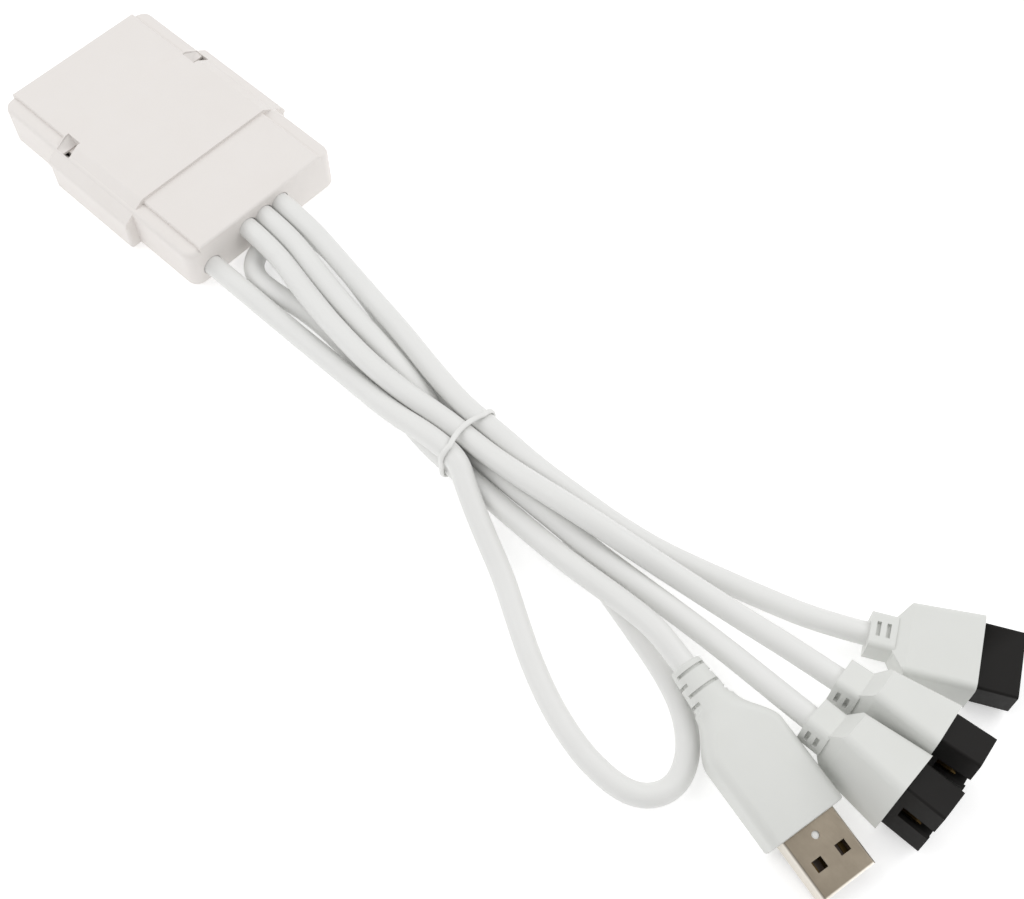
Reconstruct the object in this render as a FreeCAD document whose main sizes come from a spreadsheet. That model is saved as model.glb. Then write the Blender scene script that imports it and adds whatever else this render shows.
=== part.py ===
import FreeCAD, Part
import Sketcher
import math
import os

# Internal USB hub: a two-shell case, three header cables and one longer USB-A cable,
# folded and tied. Millimetres, +Z up, +X from the case towards the cables,
# origin at the middle of the case's underside.

Vec = FreeCAD.Vector
doc = FreeCAD.newDocument("internal_usb_hub")
sheet = doc.addObject("Spreadsheet::Sheet", "Sizes")

SIZES = [
    ("case_length", 66.5, "case, along X"),
    ("end_width", 43.0, "case, across both end blocks"),
    ("rear_length", 19.75, "rear end block, along X"),
    ("band_length", 27.5, "wider cross band, along X"),
    ("band_width", 48.0, "wider cross band, across"),
    ("wall", 1.6, "shell thickness"),
    ("split_height", 7.4, "joint of the shells, also the middle of the header cables"),
    ("shoulder_height", 11.0, "top of the outer shoulders"),
    ("panel_width", 36.0, "raised lengthwise panel"),
    ("panel_rise", 0.9, "panel above the shoulders"),
    ("band_rise", 0.7, "band above the panel"),
    ("band_side", 8.6, "height where the band's sides start to slope"),
    ("corner_round", 2.8, "upright corners of the case"),
    ("edge_round", 1.3, "upper edges of the case"),
    ("foot_round", 0.8, "lower corners of the tray"),
    ("window_length", 4.2, "latch window, along X"),
    ("window_inner", 34.0, "latch windows, between the inner edges"),
    ("window_outer", 42.0, "latch windows, between the outer edges"),
    ("rib_x", 27.0, "rear face of the cable rib"),
    ("rib_thick", 1.6, "cable rib"),
    ("cable_d", 4.7, "outer diameter of every cable"),
    ("cable_pitch", 4.9, "header cables, middle to middle at the case"),
    ("cable_gap", 0.1, "clearance round a cable in the shells"),
    ("usb_exit_y", -16.0, "USB cable exit, across"),
    ("usb_exit_z", 4.2, "USB cable exit, height"),
    ("board_length", 40.0, "circuit board, along X"),
    ("board_width", 32.0, "circuit board, across"),
    ("board_thick", 1.2, "circuit board"),
    ("board_height", 3.4, "underside of the board"),
    ("board_x", -3.0, "middle of the board"),
    ("post_x", 14.0, "board posts, half spacing along X"),
    ("post_y", 13.0, "board posts, half spacing across"),
    ("post_d", 4.0, "board posts"),
    ("peg_d", 1.9, "pegs on the posts"),
    ("peg_gap", 0.1, "clearance of a peg in its hole"),
    ("wire_d", 0.9, "insulated cable core"),
    ("chip_length", 10.2, "hub chip body, along X"),
    ("chip_width", 5.3, "hub chip body, across"),
    ("chip_height", 1.8, "hub chip above the board"),
    ("lead_pitch", 0.65, "hub chip leads"),
    ("crystal_length", 11.0, "crystal can"),
    ("crystal_width", 4.6, "crystal can"),
    ("crystal_height", 3.4, "crystal can"),
    ("capacitor_d", 4.0, "round capacitors"),
    ("capacitor_height", 3.8, "round capacitors"),
    ("resistor_length", 1.6, "chip resistors"),
    ("collar_length", 5.0, "slotted collar of a header plug"),
    ("collar_width", 7.6, "slotted collar, wide way"),
    ("collar_thick", 7.0, "slotted collar, narrow way"),
    ("shoulder_end", 7.4, "end of the shoulders from the collar's rear"),
    ("boot_length", 20.5, "whole header plug body"),
    ("boot_width", 16.0, "header plug body, wide way"),
    ("boot_rear_thick", 7.6, "header plug body behind"),
    ("boot_front_thick", 10.6, "header plug body in front"),
    ("boot_round", 1.5, "long edges of the header plug body"),
    ("slot_length", 3.0, "slots of the collars and the strain relief"),
    ("slot_width", 0.8, "slots of the collars and the strain relief"),
    ("slot_depth", 0.8, "slots of the collars and the strain relief"),
    ("sleeve_width", 13.8, "black sleeve, wide way"),
    ("sleeve_thick", 7.2, "black sleeve, narrow way"),
    ("sleeve_out", 8.0, "black sleeve in front of the plug body"),
    ("sleeve_seat", 4.0, "black sleeve inside the plug body"),
    ("mouth_width", 12.9, "mouth of the sleeve, wide way"),
    ("mouth_thick", 5.6, "mouth of the sleeve, narrow way"),
    ("mouth_depth", 9.5, "mouth of the sleeve"),
    ("key_width", 3.2, "key slot of the sleeve"),
    ("key_depth", 6.5, "key slot of the sleeve"),
    ("pin_pitch", 2.54, "header pins"),
    ("pin_side", 0.64, "header pins, square"),
    ("pin_length", 9.5, "header pins"),
    ("relief_length", 8.6, "strain relief of the USB plug"),
    ("relief_width", 6.8, "strain relief, across"),
    ("relief_thick", 6.2, "strain relief, upright"),
    ("flare_end", 19.5, "end of the grip's curved shoulders"),
    ("grip_length", 35.7, "strain relief and grip"),
    ("grip_width", 16.6, "grip, across"),
    ("grip_thick", 8.4, "grip, upright"),
    ("grip_round", 2.0, "edges of the grip"),
    ("usb_width", 12.0, "USB-A shell"),
    ("usb_thick", 4.5, "USB-A shell"),
    ("usb_metal", 0.3, "sheet of the USB-A shell"),
    ("usb_out", 12.0, "USB-A shell in front of the grip"),
    ("usb_seat", 5.0, "USB-A shell inside the grip"),
    ("usb_hole", 2.2, "latch holes of the USB-A shell"),
    ("usb_hole_gap", 5.4, "latch holes, middle to middle"),
    ("tongue_thick", 1.9, "plastic tongue of the USB plug"),
    ("tie_x", 107.3, "bundle tie, along X"),
    ("tie_y", -11.1, "bundle tie, middle across"),
    ("tie_width", 1.4, "bundle tie, along the cables"),
    ("tie_thick", 0.7, "bundle tie"),
    ("tie_gap", 0.15, "clearance between tie and cables"),
]
for row, (alias, number, note) in enumerate(SIZES, 1):
    sheet.set("A%d" % row, note)
    sheet.set("B%d" % row, str(number))
    sheet.setAlias("B%d" % row, alias)
doc.recompute()


def size(alias):
    return float(sheet.get(alias))


def worth(formula):
    return float(sheet.evalExpression(formula))


def lettered(formula):
    """Lets a formula name sheet sizes with a leading dot, as in .wall * 2."""
    out = ""
    for place, sign in enumerate(formula):
        start = sign == "." and formula[place + 1:place + 2].isalpha()
        out += "Sizes." if start else sign
    return out


def plane_of(body, role):
    return [f for f in body.Origin.OriginFeatures if f.Role == role][0]


def new_body(label):
    body = doc.addObject("PartDesign::Body", label)
    body.Label = label
    return body


def new_sketch(body, name, plane, offset):
    sketch = body.newObject("Sketcher::SketchObject", name)
    sketch.AttachmentSupport = (plane_of(body, plane), [""])
    sketch.MapMode = "FlatFace"
    sketch.setExpression("AttachmentOffset.Base.z", lettered(offset))
    return sketch


def place_point(sketch, geometry, point, formulas):
    """Fixes a sketch point at a pair of sheet formulas."""
    for kind, axis, formula in zip(("DistanceX", "DistanceY"), (-2, -1), formulas):
        if formula == "0":
            sketch.addConstraint(Sketcher.Constraint("PointOnObject", geometry, point, axis))
            continue
        value = worth(lettered(formula))
        index = sketch.addConstraint(Sketcher.Constraint(kind, -1, 1, geometry, point, value))
        sketch.setExpression("Constraints[%d]" % index, lettered(formula))


def add_polygon(sketch, corners):
    spots = [Vec(worth(lettered(x)), worth(lettered(y)), 0) for x, y in corners]
    count = len(spots)
    first = sketch.GeometryCount
    for i in range(count):
        sketch.addGeometry(Part.LineSegment(spots[i], spots[(i + 1) % count]), False)
    for i in range(count):
        after = first + (i + 1) % count
        sketch.addConstraint(Sketcher.Constraint("Coincident", first + i, 2, after, 1))
    for i in range(count):
        place_point(sketch, first + i, 1, corners[i])


def box_corners(x0, x1, y0, y1):
    return [(x0, y0), (x1, y0), (x1, y1), (x0, y1)]


def centred(width, height):
    return box_corners("-(%s) / 2" % width, "(%s) / 2" % width,
                       "-(%s) / 2" % height, "(%s) / 2" % height)


def polygons(body, name, plane, shapes, offset="0"):
    sketch = new_sketch(body, name, plane, offset)
    for corners in shapes:
        add_polygon(sketch, corners)
    return sketch


def circles(body, name, plane, rounds, offset="0"):
    """Circles as (across, up, diameter) formulas."""
    sketch = new_sketch(body, name, plane, offset)
    for x, y, d in rounds:
        middle = Vec(worth(lettered(x)), worth(lettered(y)), 0)
        radius = worth(lettered(d)) / 2
        g = sketch.addGeometry(Part.Circle(middle, Vec(0, 0, 1), radius), False)
        place_point(sketch, g, 3, (x, y))
        index = sketch.addConstraint(Sketcher.Constraint("Diameter", g, radius * 2))
        sketch.setExpression("Constraints[%d]" % index, lettered(d))
    return sketch


def feature(body, kind, name, sketch, length, back=False):
    made = body.newObject("PartDesign::" + kind, name)
    made.Profile = sketch
    made.setExpression("Length", lettered(length))
    made.Reversed = back
    sketch.Visibility = False
    body.Tip = made
    doc.recompute()
    return made


def round_edges(body, name, test, radius, kind="Fillet"):
    base = body.Tip
    names = ["Edge%d" % (i + 1) for i, e in enumerate(base.Shape.Edges) if test(e)]
    made = body.newObject("PartDesign::" + kind, name)
    made.Base = (base, names)
    made.setExpression("Radius" if kind == "Fillet" else "Size", lettered(radius))
    body.Tip = made
    doc.recompute()
    return made


def along(edge, axis):
    """True for a straight edge along the axis 0, 1 or 2."""
    if edge.Curve.TypeId != "Part::GeomLine":
        return False
    return abs(edge.tangentAt(edge.FirstParameter)[axis]) > 0.999


def near(a, b, slack=0.02):
    return abs(a - b) < slack


def boxed(label, *sizes_and_place):
    """Part box from six sheet formulas: length, width, height, x, y, z."""
    made = doc.addObject("Part::Box", label)
    keys = ("Length", "Width", "Height", "Placement.Base.x", "Placement.Base.y",
            "Placement.Base.z")
    for key, formula in zip(keys, sizes_and_place):
        made.setExpression(key, lettered(formula))
    return made


def group(label, members):
    made = doc.addObject("Part::Compound", label)
    made.Label = label
    made.Links = members
    doc.recompute()
    return made


nodes = []

# The plan of the tray: end blocks with the wider band between them.
REAR = "-.case_length / 2"
FRONT = ".case_length / 2"
BAND_REAR = "(-.case_length / 2 + .rear_length)"
BAND_FRONT = "(-.case_length / 2 + .rear_length + .band_length)"


def plan(inset):
    """Outline of the tray, moved inwards by a formula."""
    x = [REAR + " + " + inset, BAND_REAR + " + " + inset, BAND_FRONT + " - " + inset,
         FRONT + " - " + inset]
    y = [".end_width / 2 - " + inset, ".band_width / 2 - " + inset]
    low = ["-(%s)" % v for v in y]
    return [(x[0], low[0]), (x[1], low[0]), (x[1], low[1]), (x[2], low[1]), (x[2], low[0]),
            (x[3], low[0]), (x[3], y[0]), (x[2], y[0]), (x[2], y[1]), (x[1], y[1]),
            (x[1], y[0]), (x[0], y[0])]


HOLE = ".cable_d + 2 * .cable_gap"
HEADER_EXITS = [(".cable_pitch", ".split_height", HOLE), ("0", ".split_height", HOLE),
                ("-.cable_pitch", ".split_height", HOLE)]
USB_EXIT = (".usb_exit_y", ".usb_exit_z", HOLE)
POSTS = [(".board_x + %s * .post_x" % a, "%s * .post_y" % b) for a in ("-1", "1") for b in ("-1", "1")]
ends_x = (-size("case_length") / 2, size("case_length") / 2)
bands_x = (worth(lettered(BAND_REAR)), worth(lettered(BAND_FRONT)))

# Lower case: tray with board posts, latch hooks and a notched rib for the cables.
lower = new_body("lower_case")
feature(lower, "Pad", "tray", polygons(lower, "tray_plan", "XY_Plane", [plan("0")]), ".split_height")
round_edges(lower, "tray_corners",
            lambda e: along(e, 2) and min(abs(e.Vertexes[0].X - x) for x in ends_x) < 0.02,
            ".corner_round")
round_edges(lower, "tray_band_corners",
            lambda e: along(e, 2) and near(abs(e.Vertexes[0].Y), size("band_width") / 2),
            ".foot_round")
round_edges(lower, "tray_foot", lambda e: max(v.Z for v in e.Vertexes) < 0.01, ".foot_round", "Chamfer")
feature(lower, "Pocket", "tray_inside",
        polygons(lower, "tray_inside_plan", "XY_Plane", [plan(".wall")], ".split_height"),
        ".split_height - .wall")
rib = box_corners(".rib_x", ".rib_x + .rib_thick", "-.end_width / 2 + .wall / 2", ".end_width / 2 - .wall / 2")
feature(lower, "Pad", "cable_rib", polygons(lower, "rib_plan", "XY_Plane", [rib], ".wall / 2"),
        ".split_height - .wall / 2")
feature(lower, "Pad", "board_posts",
        circles(lower, "post_plan", "XY_Plane", [p + (".post_d",) for p in POSTS], ".wall / 2"),
        ".board_height - .wall / 2")
feature(lower, "Pad", "board_pegs",
        circles(lower, "peg_plan", "XY_Plane", [p + (".peg_d",) for p in POSTS], ".wall / 2"),
        ".board_height + .board_thick + 0.4 - .wall / 2")
hook_x = (BAND_REAR + " + .window_length * 0.3", BAND_REAR + " + .window_length * 0.85")
hooks = [box_corners(hook_x[0], hook_x[1], a, b) for a, b in
         ((".window_inner / 2 + 0.5", ".window_inner / 2 + 2.2"),
          ("-.window_inner / 2 - 2.2", "-.window_inner / 2 - 0.5"))]
feature(lower, "Pad", "latch_hooks", polygons(lower, "hook_plan", "XY_Plane", hooks, ".wall / 2"),
        ".shoulder_height - 1.2 - .wall / 2")
feature(lower, "Pocket", "tray_cable_holes",
        circles(lower, "tray_holes", "YZ_Plane", HEADER_EXITS + [USB_EXIT], FRONT),
        FRONT + " - .rib_x + 0.01")
nodes.append(lower)

# Upper case: shoulders, raised panel and the sloping cross band, hollow from below.
upper = new_body("upper_case")
feature(upper, "Pad", "shoulders",
        polygons(upper, "shoulder_plan", "XY_Plane", [centred(".case_length", ".end_width")],
                 ".split_height"), ".shoulder_height - .split_height")
round_edges(upper, "upper_corners", lambda e: along(e, 2), ".corner_round")
round_edges(upper, "shoulder_edges",
            lambda e: min(v.Z for v in e.Vertexes) > size("shoulder_height") - 0.01, ".edge_round")
feature(upper, "Pad", "panel",
        polygons(upper, "panel_plan", "XY_Plane", [centred(".case_length", ".panel_width")],
                 ".split_height"), ".shoulder_height + .panel_rise - .split_height")
top = size("shoulder_height") + size("panel_rise")
round_edges(upper, "panel_edges",
            lambda e: near(min(v.Z for v in e.Vertexes), top), ".panel_rise * 0.7")
BAND_TOP = ".shoulder_height + .panel_rise + .band_rise"
saddle = [("-.band_width / 2", ".split_height"), (".band_width / 2", ".split_height"),
          (".band_width / 2", ".band_side"), (".panel_width / 2", BAND_TOP),
          ("-.panel_width / 2", BAND_TOP), ("-.band_width / 2", ".band_side")]
feature(upper, "Pad", "band", polygons(upper, "band_profile", "YZ_Plane", [saddle], BAND_REAR),
        ".band_length")
round_edges(upper, "band_shoulders",
            lambda e: along(e, 0) and e.Length > size("band_length") - 0.1
            and near(e.Vertexes[0].Z, worth(lettered(BAND_TOP))), ".edge_round")
round_edges(upper, "band_brows",
            lambda e: along(e, 0) and e.Length > size("band_length") - 0.1
            and near(e.Vertexes[0].Z, size("band_side")), ".edge_round")
feature(upper, "Pocket", "upper_inside",
        polygons(upper, "upper_inside_plan", "XY_Plane",
                 [centred(".case_length - 2 * .wall", ".end_width - 2 * .wall")], ".split_height"),
        ".shoulder_height - .wall - .split_height", True)
windows = [box_corners(BAND_REAR + " + 0.3", BAND_REAR + " + 0.3 + .window_length", a, b)
           for a, b in ((".window_inner / 2", ".window_outer / 2"),
                        ("-.window_outer / 2", "-.window_inner / 2"))]
feature(upper, "Pocket", "latch_windows",
        polygons(upper, "window_plan", "XY_Plane", windows, ".shoulder_height + 3"),
        "4.6 + .edge_round / 2")
feature(upper, "Pocket", "upper_cable_holes",
        circles(upper, "upper_holes", "YZ_Plane", HEADER_EXITS, FRONT), FRONT + " - .rib_x + 0.6")
nodes.append(upper)

# Circuit board on the posts, with what is soldered to it.
board = new_body("circuit_board")
half = (".board_x - .board_length / 2", ".board_x + .board_length / 2")
feature(board, "Pad", "board_plate",
        polygons(board, "board_plan", "XY_Plane",
                 [box_corners(half[0], half[1], "-.board_width / 2", ".board_width / 2")],
                 ".board_height"), ".board_thick")
feature(board, "Pocket", "board_holes",
        circles(board, "board_hole_plan", "XY_Plane",
                [p + (".peg_d + 2 * .peg_gap",) for p in POSTS], ".board_height + .board_thick"),
        ".board_thick + 1")
nodes.append(board)

BOARD_TOP = ".board_height + .board_thick"
chip_parts = [boxed("chip_body", ".chip_length", ".chip_width", ".chip_height - 0.1",
                    ".board_x - .chip_length / 2", "-.chip_width / 2", BOARD_TOP + " + 0.1")]
for side, start in (("right", ".chip_width / 2 - 0.2"), ("left", "-.chip_width / 2 - 1.0")):
    for i in range(14):
        chip_parts.append(boxed("chip_lead_%s_%d" % (side, i), "0.3", "1.2", "0.25",
                                ".board_x + .lead_pitch * %.1f - 0.15" % (i - 6.5), start, BOARD_TOP))
chip = doc.addObject("Part::MultiFuse", "hub_chip")
chip.Label = "hub_chip"
chip.Shapes = chip_parts
nodes.append(chip)

crystal = new_body("crystal_can")
crystal_spot = (".board_x - 13", "0")
straight = "(.crystal_length - .crystal_width)"
for name, extra, height in (("can_flange", "0.6", "0.4"), ("can", "0", ".crystal_height")):
    across = "(.crystal_width + %s)" % extra
    bar = box_corners(".board_x - 13 - %s / 2" % across, ".board_x - 13 + %s / 2" % across,
                      "-%s / 2" % straight, "%s / 2" % straight)
    feature(crystal, "Pad", name + "_middle",
            polygons(crystal, name + "_bar", "XY_Plane", [bar], BOARD_TOP), height)
    for number, sign in enumerate(("", "-")):
        spot = (".board_x - 13", sign + straight + " / 2", across)
        feature(crystal, "Pad", "%s_end_%d" % (name, number),
                circles(crystal, "%s_round_%d" % (name, number), "XY_Plane", [spot], BOARD_TOP), height)
nodes.append(crystal)

cans = []
for i in range(3):
    can = doc.addObject("Part::Cylinder", "capacitor_%d" % i)
    can.setExpression("Radius", "Sizes.capacitor_d / 2")
    can.setExpression("Height", "Sizes.capacitor_height")
    can.setExpression("Placement.Base.x", "Sizes.board_x + %.1f" % (-4.5 + 6.0 * i))
    can.setExpression("Placement.Base.y", "10.5")
    can.setExpression("Placement.Base.z", lettered(BOARD_TOP))
    cans.append(can)
nodes.append(group("board_capacitors", cans))
chips = [boxed("resistor_%d" % i, ".resistor_length", ".resistor_length / 2", "0.5",
               ".board_x + %.1f" % (-9.0 + 2.6 * i), "-9.0", BOARD_TOP) for i in range(8)]
nodes.append(group("board_resistors", chips))


# Cable and core tubes: straight runs joined by tangent arcs.
def tube(points, diameter):
    spots = [Vec(*p) for p in points]
    edges = []
    radii = []
    start = spots[0]
    for before, corner, after in zip(spots, spots[1:], spots[2:]):
        back = (before - corner).normalize()
        on = (after - corner).normalize()
        turn = math.pi - back.getAngle(on)
        cut = 0.45 * min((before - corner).Length, (after - corner).Length)
        radius = cut / math.tan(turn / 2)
        radii.append(radius)
        a = corner + back * cut
        b = corner + on * cut
        toward = (back + on).normalize()
        middle = corner + toward * (math.hypot(cut, radius) - radius)
        edges.append(Part.LineSegment(start, a).toShape())
        edges.append(Part.Arc(a, middle, b).toShape())
        start = b
    edges.append(Part.LineSegment(start, spots[-1]).toShape())
    path = Part.Wire(edges)
    ring = Part.Wire(Part.Circle(spots[0], spots[1] - spots[0], diameter / 2).toShape())
    solid = path.makePipe(Part.Face(ring))
    expected = math.pi * diameter ** 2 / 4 * path.Length
    assert abs(solid.Volume - expected) < 0.02 * expected
    return solid, path.Length, min(radii)


def tube_node(label, shapes):
    made = doc.addObject("Part::Feature", label)
    made.Label = label
    made.Shape = shapes[0] if len(shapes) == 1 else Part.makeCompound(shapes)
    made.Placement = FreeCAD.Placement()
    return made


# Resting places of the plugs: rear middle, yaw, pitch and roll about the plug's own axis.
def placement(spot, yaw, pitch, roll):
    turn = FreeCAD.Rotation(Vec(0, 0, 1), yaw).multiply(FreeCAD.Rotation(Vec(0, 1, 0), pitch))
    return FreeCAD.Placement(Vec(*spot), turn.multiply(FreeCAD.Rotation(Vec(1, 0, 0), roll)))


def standing(roll):
    """Height of a header plug's axis when it rests on its edge."""
    angle = math.radians(roll)
    return size("boot_width") / 2 * math.sin(angle) + size("boot_front_thick") / 2 * math.cos(angle) + 0.05


PLUGS = {
    "top": placement((192.5, 10.8, standing(0)), 27.0, 0, 0),
    "middle": placement((194.5, -2.1, standing(78)), 5.7, 0, 78),
    "lower": placement((195.3, -11.6, standing(78)), 0.6, 0, 78),
}
USB_PLACE = placement((171.7, -19.4, 8.9), -12.0, 7.3, 0)


def lead_in(place, distance):
    """The last two points of a cable, straight into the rear of its plug."""
    return [tuple(place.multVec(Vec(-distance, 0, 0))), tuple(place.Base)]


inner = size("rib_x")
row = size("split_height")
pitch = size("cable_pitch")
tie_x = size("tie_x")
tie_y = size("tie_y")
low_row = size("cable_d") / 2 + size("tie_thick") + size("tie_gap") + 0.05
high_row = low_row + pitch
low_z = size("cable_d") / 2 + 0.05

tie_in = tie_x - 5.5
tie_out = tie_x + 5.5
HEADER_ROUTES = {
    "top": [(inner, pitch, row), (41, pitch, row), (55, 2.4, 7.8), (68, 0.0, 8.1), (80, -2.0, 8.2),
            (91, -4.4, 8.2), (tie_in, tie_y + pitch, high_row), (tie_out, tie_y + pitch, high_row),
            (122, -6.5, 7.7), (132, -5.6, 6.8), (142, -4.4, 5.3), (152, -2.2, 3.7), (163, 1.2, 3.0),
            (174, 4.0, 3.9)],
    "middle": [(inner, -pitch, row), (41, -pitch, row), (55, -8.6, 7.9), (68, -10.9, 8.3),
               (80, -12.3, 8.6), (91, -12.2, 8.6), (tie_in, tie_y, high_row),
               (tie_out, tie_y, high_row), (122, -11.2, 10.2), (132, -10.6, 11.8),
               (142, -9.3, 11.6), (152, -7.4, 9.7), (163, -5.2, 7.5), (174, -3.8, 7.3)],
    "lower": [(inner, 0, row), (41, 0, row), (55, -3.4, 7.9), (68, -5.8, 7.7), (79, -7.0, 6.6),
              (90, -9.0, 4.3), (tie_in, tie_y, low_row), (tie_out, tie_y, low_row),
              (122, -11.7, 4.8), (132, -12.4, 6.9), (142, -12.7, 7.4), (153, -11.9, 6.6),
              (164, -10.8, 5.6), (175, -10.7, 6.4)],
}
usb_y = size("usb_exit_y")
usb_z = size("usb_exit_z")
# Out through the tie into the open loop, back through the tie, a fold in front of the case
# under the header cables, and through the tie a third time to the plug.
USB_ROUTE = [
    (inner, usb_y, usb_z), (41, usb_y, usb_z), (55, -15.6, 2.9), (68, -15.7, 3.4),
    (80, -16.3, 5.1), (91, -16.9, 6.8), (tie_in, tie_y - pitch, high_row),
    (tie_x + 4.0, tie_y - pitch, high_row), (116.5, -20.0, 7.2), (124, -23.8, 4.8),
    (132, -27.6, 2.7), (140.5, -32.2, low_z), (149.5, -37.2, low_z), (160, -42.0, low_z),
    (171, -44.8, low_z), (181, -44.2, low_z), (185.6, -38.0, low_z), (183.4, -30.6, low_z),
    (176.6, -24.2, low_z), (168.4, -20.6, low_z), (158, -17.6, low_z), (147, -14.6, low_z),
    (136, -10.9, low_z), (124, -6.8, low_z), (tie_out, tie_y + pitch, low_row),
    (tie_in, tie_y + pitch, low_row), (91, -3.8, 2.6), (81, -1.8, low_z), (71, 0.4, low_z),
    (60, 3.2, low_z), (50, 5.3, low_z), (41.4, 5.6, low_z), (36.7, 0.9, low_z),
    (36.7, -5.1, low_z), (41.4, -9.8, low_z), (50, -10.2, low_z), (60, -10.3, low_z),
    (70, -11.0, low_z), (80, -11.9, low_z), (91, -13.9, low_z), (tie_in, tie_y - pitch, low_row),
    (tie_out, tie_y - pitch, low_row), (123, -16.4, 3.6), (133, -17.4, 6.1), (142, -17.8, 7.4),
    (153, -17.2, 8.0), (161, -17.4, 9.3),
]
for name, route in HEADER_ROUTES.items():
    solid, length, tight = tube(route + lead_in(PLUGS[name], 9.0), size("cable_d"))
    print("header_cable_%s length %.1f tightest radius %.1f" % (name, length, tight))
    nodes.append(tube_node("header_cable_" + name, [solid]))
solid, length, tight = tube(USB_ROUTE + lead_in(USB_PLACE, 6.0), size("cable_d"))
print("usb_cable length %.1f tightest radius %.1f" % (length, tight))
nodes.append(tube_node("usb_cable", [solid]))

# Cores: out of a cable's inner end, then down on to the board.
board_top = size("board_height") + size("board_thick")
land = size("board_x") + size("board_length") / 2
wire = size("wire_d")


def cores(label, y, z):
    made = []
    for i in range(4):
        across = y + wire * 1.15 * (i - 1.5)
        spot = land - 1.5 - 1.2 * (i % 2)
        bend = [(inner, across, z), (spot, across, z), (spot, across, board_top)]
        made.append(tube(bend, wire)[0])
    nodes.append(tube_node(label, made))


for name, place in (("top", pitch), ("middle", -pitch), ("lower", 0)):
    cores("header_wires_" + name, place, row)
cores("usb_wires", max(usb_y, -size("board_width") / 2 + 2.5), usb_z + 1.4)


# Header plugs: slotted collar, shoulders, wedge-shaped body, black sleeve and nine pins.
def header_plug(name):
    boot = new_body("header_boot_" + name)
    feature(boot, "Pad", "collar_" + name,
            polygons(boot, "collar_face_" + name, "YZ_Plane", [centred(".collar_width", ".collar_thick")]),
            ".collar_length")
    faces = []
    for number, (x, w, t) in enumerate(((".collar_length - 0.6", ".collar_width * 0.86", ".collar_thick * 0.86"),
                                        (".shoulder_end", ".boot_width * 0.95", ".boot_rear_thick"),
                                        (".boot_length", ".boot_width", ".boot_front_thick"))):
        faces.append(polygons(boot, "boot_face_%d_%s" % (number, name), "YZ_Plane", [centred(w, t)], x))
    loft = boot.newObject("PartDesign::AdditiveLoft", "boot_body_" + name)
    loft.Profile = faces[0]
    loft.Sections = faces[1:]
    loft.Ruled = True
    boot.Tip = loft
    doc.recompute()
    rear = size("shoulder_end")
    tip = size("boot_length")
    round_edges(boot, "boot_sides_" + name,
                lambda e: near(min(v.X for v in e.Vertexes), rear) and near(max(v.X for v in e.Vertexes), tip),
                ".boot_round")
    round_edges(boot, "collar_sides_" + name,
                lambda e: along(e, 0) and min(v.X for v in e.Vertexes) < 0.01, "1.2")
    feature(boot, "Pocket", "sleeve_seat_" + name,
            polygons(boot, "seat_face_" + name, "YZ_Plane", [centred(".sleeve_width", ".sleeve_thick")],
                     ".boot_length"), ".sleeve_seat")
    slots = [box_corners("%s - .slot_width / 2" % x, "%s + .slot_width / 2" % x,
                         "-.slot_length / 2", ".slot_length / 2")
             for x in ("(.collar_length * 0.3)", "(.collar_length * 0.68)")]
    for side, offset, back in (("upper", ".collar_thick / 2", False), ("lower", "-.collar_thick / 2", True)):
        feature(boot, "Pocket", "slots_%s_%s" % (side, name),
                polygons(boot, "slot_plan_%s_%s" % (side, name), "XY_Plane", slots, offset),
                ".slot_depth", back)
    boot.Placement = PLUGS[name]
    nodes.append(boot)

    sleeve = new_body("sleeve_blank_" + name)
    feature(sleeve, "Pad", "sleeve_" + name,
            polygons(sleeve, "sleeve_face_" + name, "YZ_Plane",
                     [centred(".sleeve_width - 0.04", ".sleeve_thick - 0.04")],
                     ".boot_length - .sleeve_seat"), ".sleeve_seat + .sleeve_out")
    round_edges(sleeve, "sleeve_sides_" + name, lambda e: along(e, 0), "0.5")
    feature(sleeve, "Pocket", "sleeve_mouth_" + name,
            polygons(sleeve, "mouth_face_" + name, "YZ_Plane", [centred(".mouth_width", ".mouth_thick")],
                     ".boot_length + .sleeve_out"), ".mouth_depth")
    key = box_corners(".boot_length + .sleeve_out - .key_depth", ".boot_length + .sleeve_out + 1",
                      "-.key_width / 2", ".key_width / 2")
    feature(sleeve, "Pocket", "sleeve_key_" + name,
            polygons(sleeve, "key_plan_" + name, "XY_Plane", [key], ".sleeve_thick"),
            ".sleeve_thick")
    pins = []
    for i in range(10):
        if i == 9:
            continue
        pins.append(boxed("pin_%s_%d" % (name, i), ".pin_length", ".pin_side", ".pin_side",
                          ".boot_length - .sleeve_seat",
                          ".pin_pitch * %d - .pin_side / 2" % (i // 2 - 2),
                          ".pin_pitch * %.1f - .pin_side / 2" % (i % 2 - 0.5)))
    pin_group = group("header_pins_" + name, pins)
    shroud = doc.addObject("Part::Cut", "header_shroud_" + name)
    shroud.Label = "header_shroud_" + name
    shroud.Base = sleeve
    shroud.Tool = pin_group
    doc.recompute()
    pin_group.Placement = FreeCAD.Placement()
    nodes.append(shroud)
    nodes.append(pin_group)


for name in PLUGS:
    header_plug(name)
doc.recompute()
for node in nodes:
    for name in PLUGS:
        if node.Label in ("header_shroud_" + name, "header_pins_" + name):
            moved = doc.addObject("Part::Feature", node.Label + "_placed")
            moved.Shape = node.Shape.copy()
            moved.Placement = PLUGS[name]
            node.Label = node.Label + "_local"
            moved.Label = node.Label[:-len("_local")]
            nodes[nodes.index(node)] = moved

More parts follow.
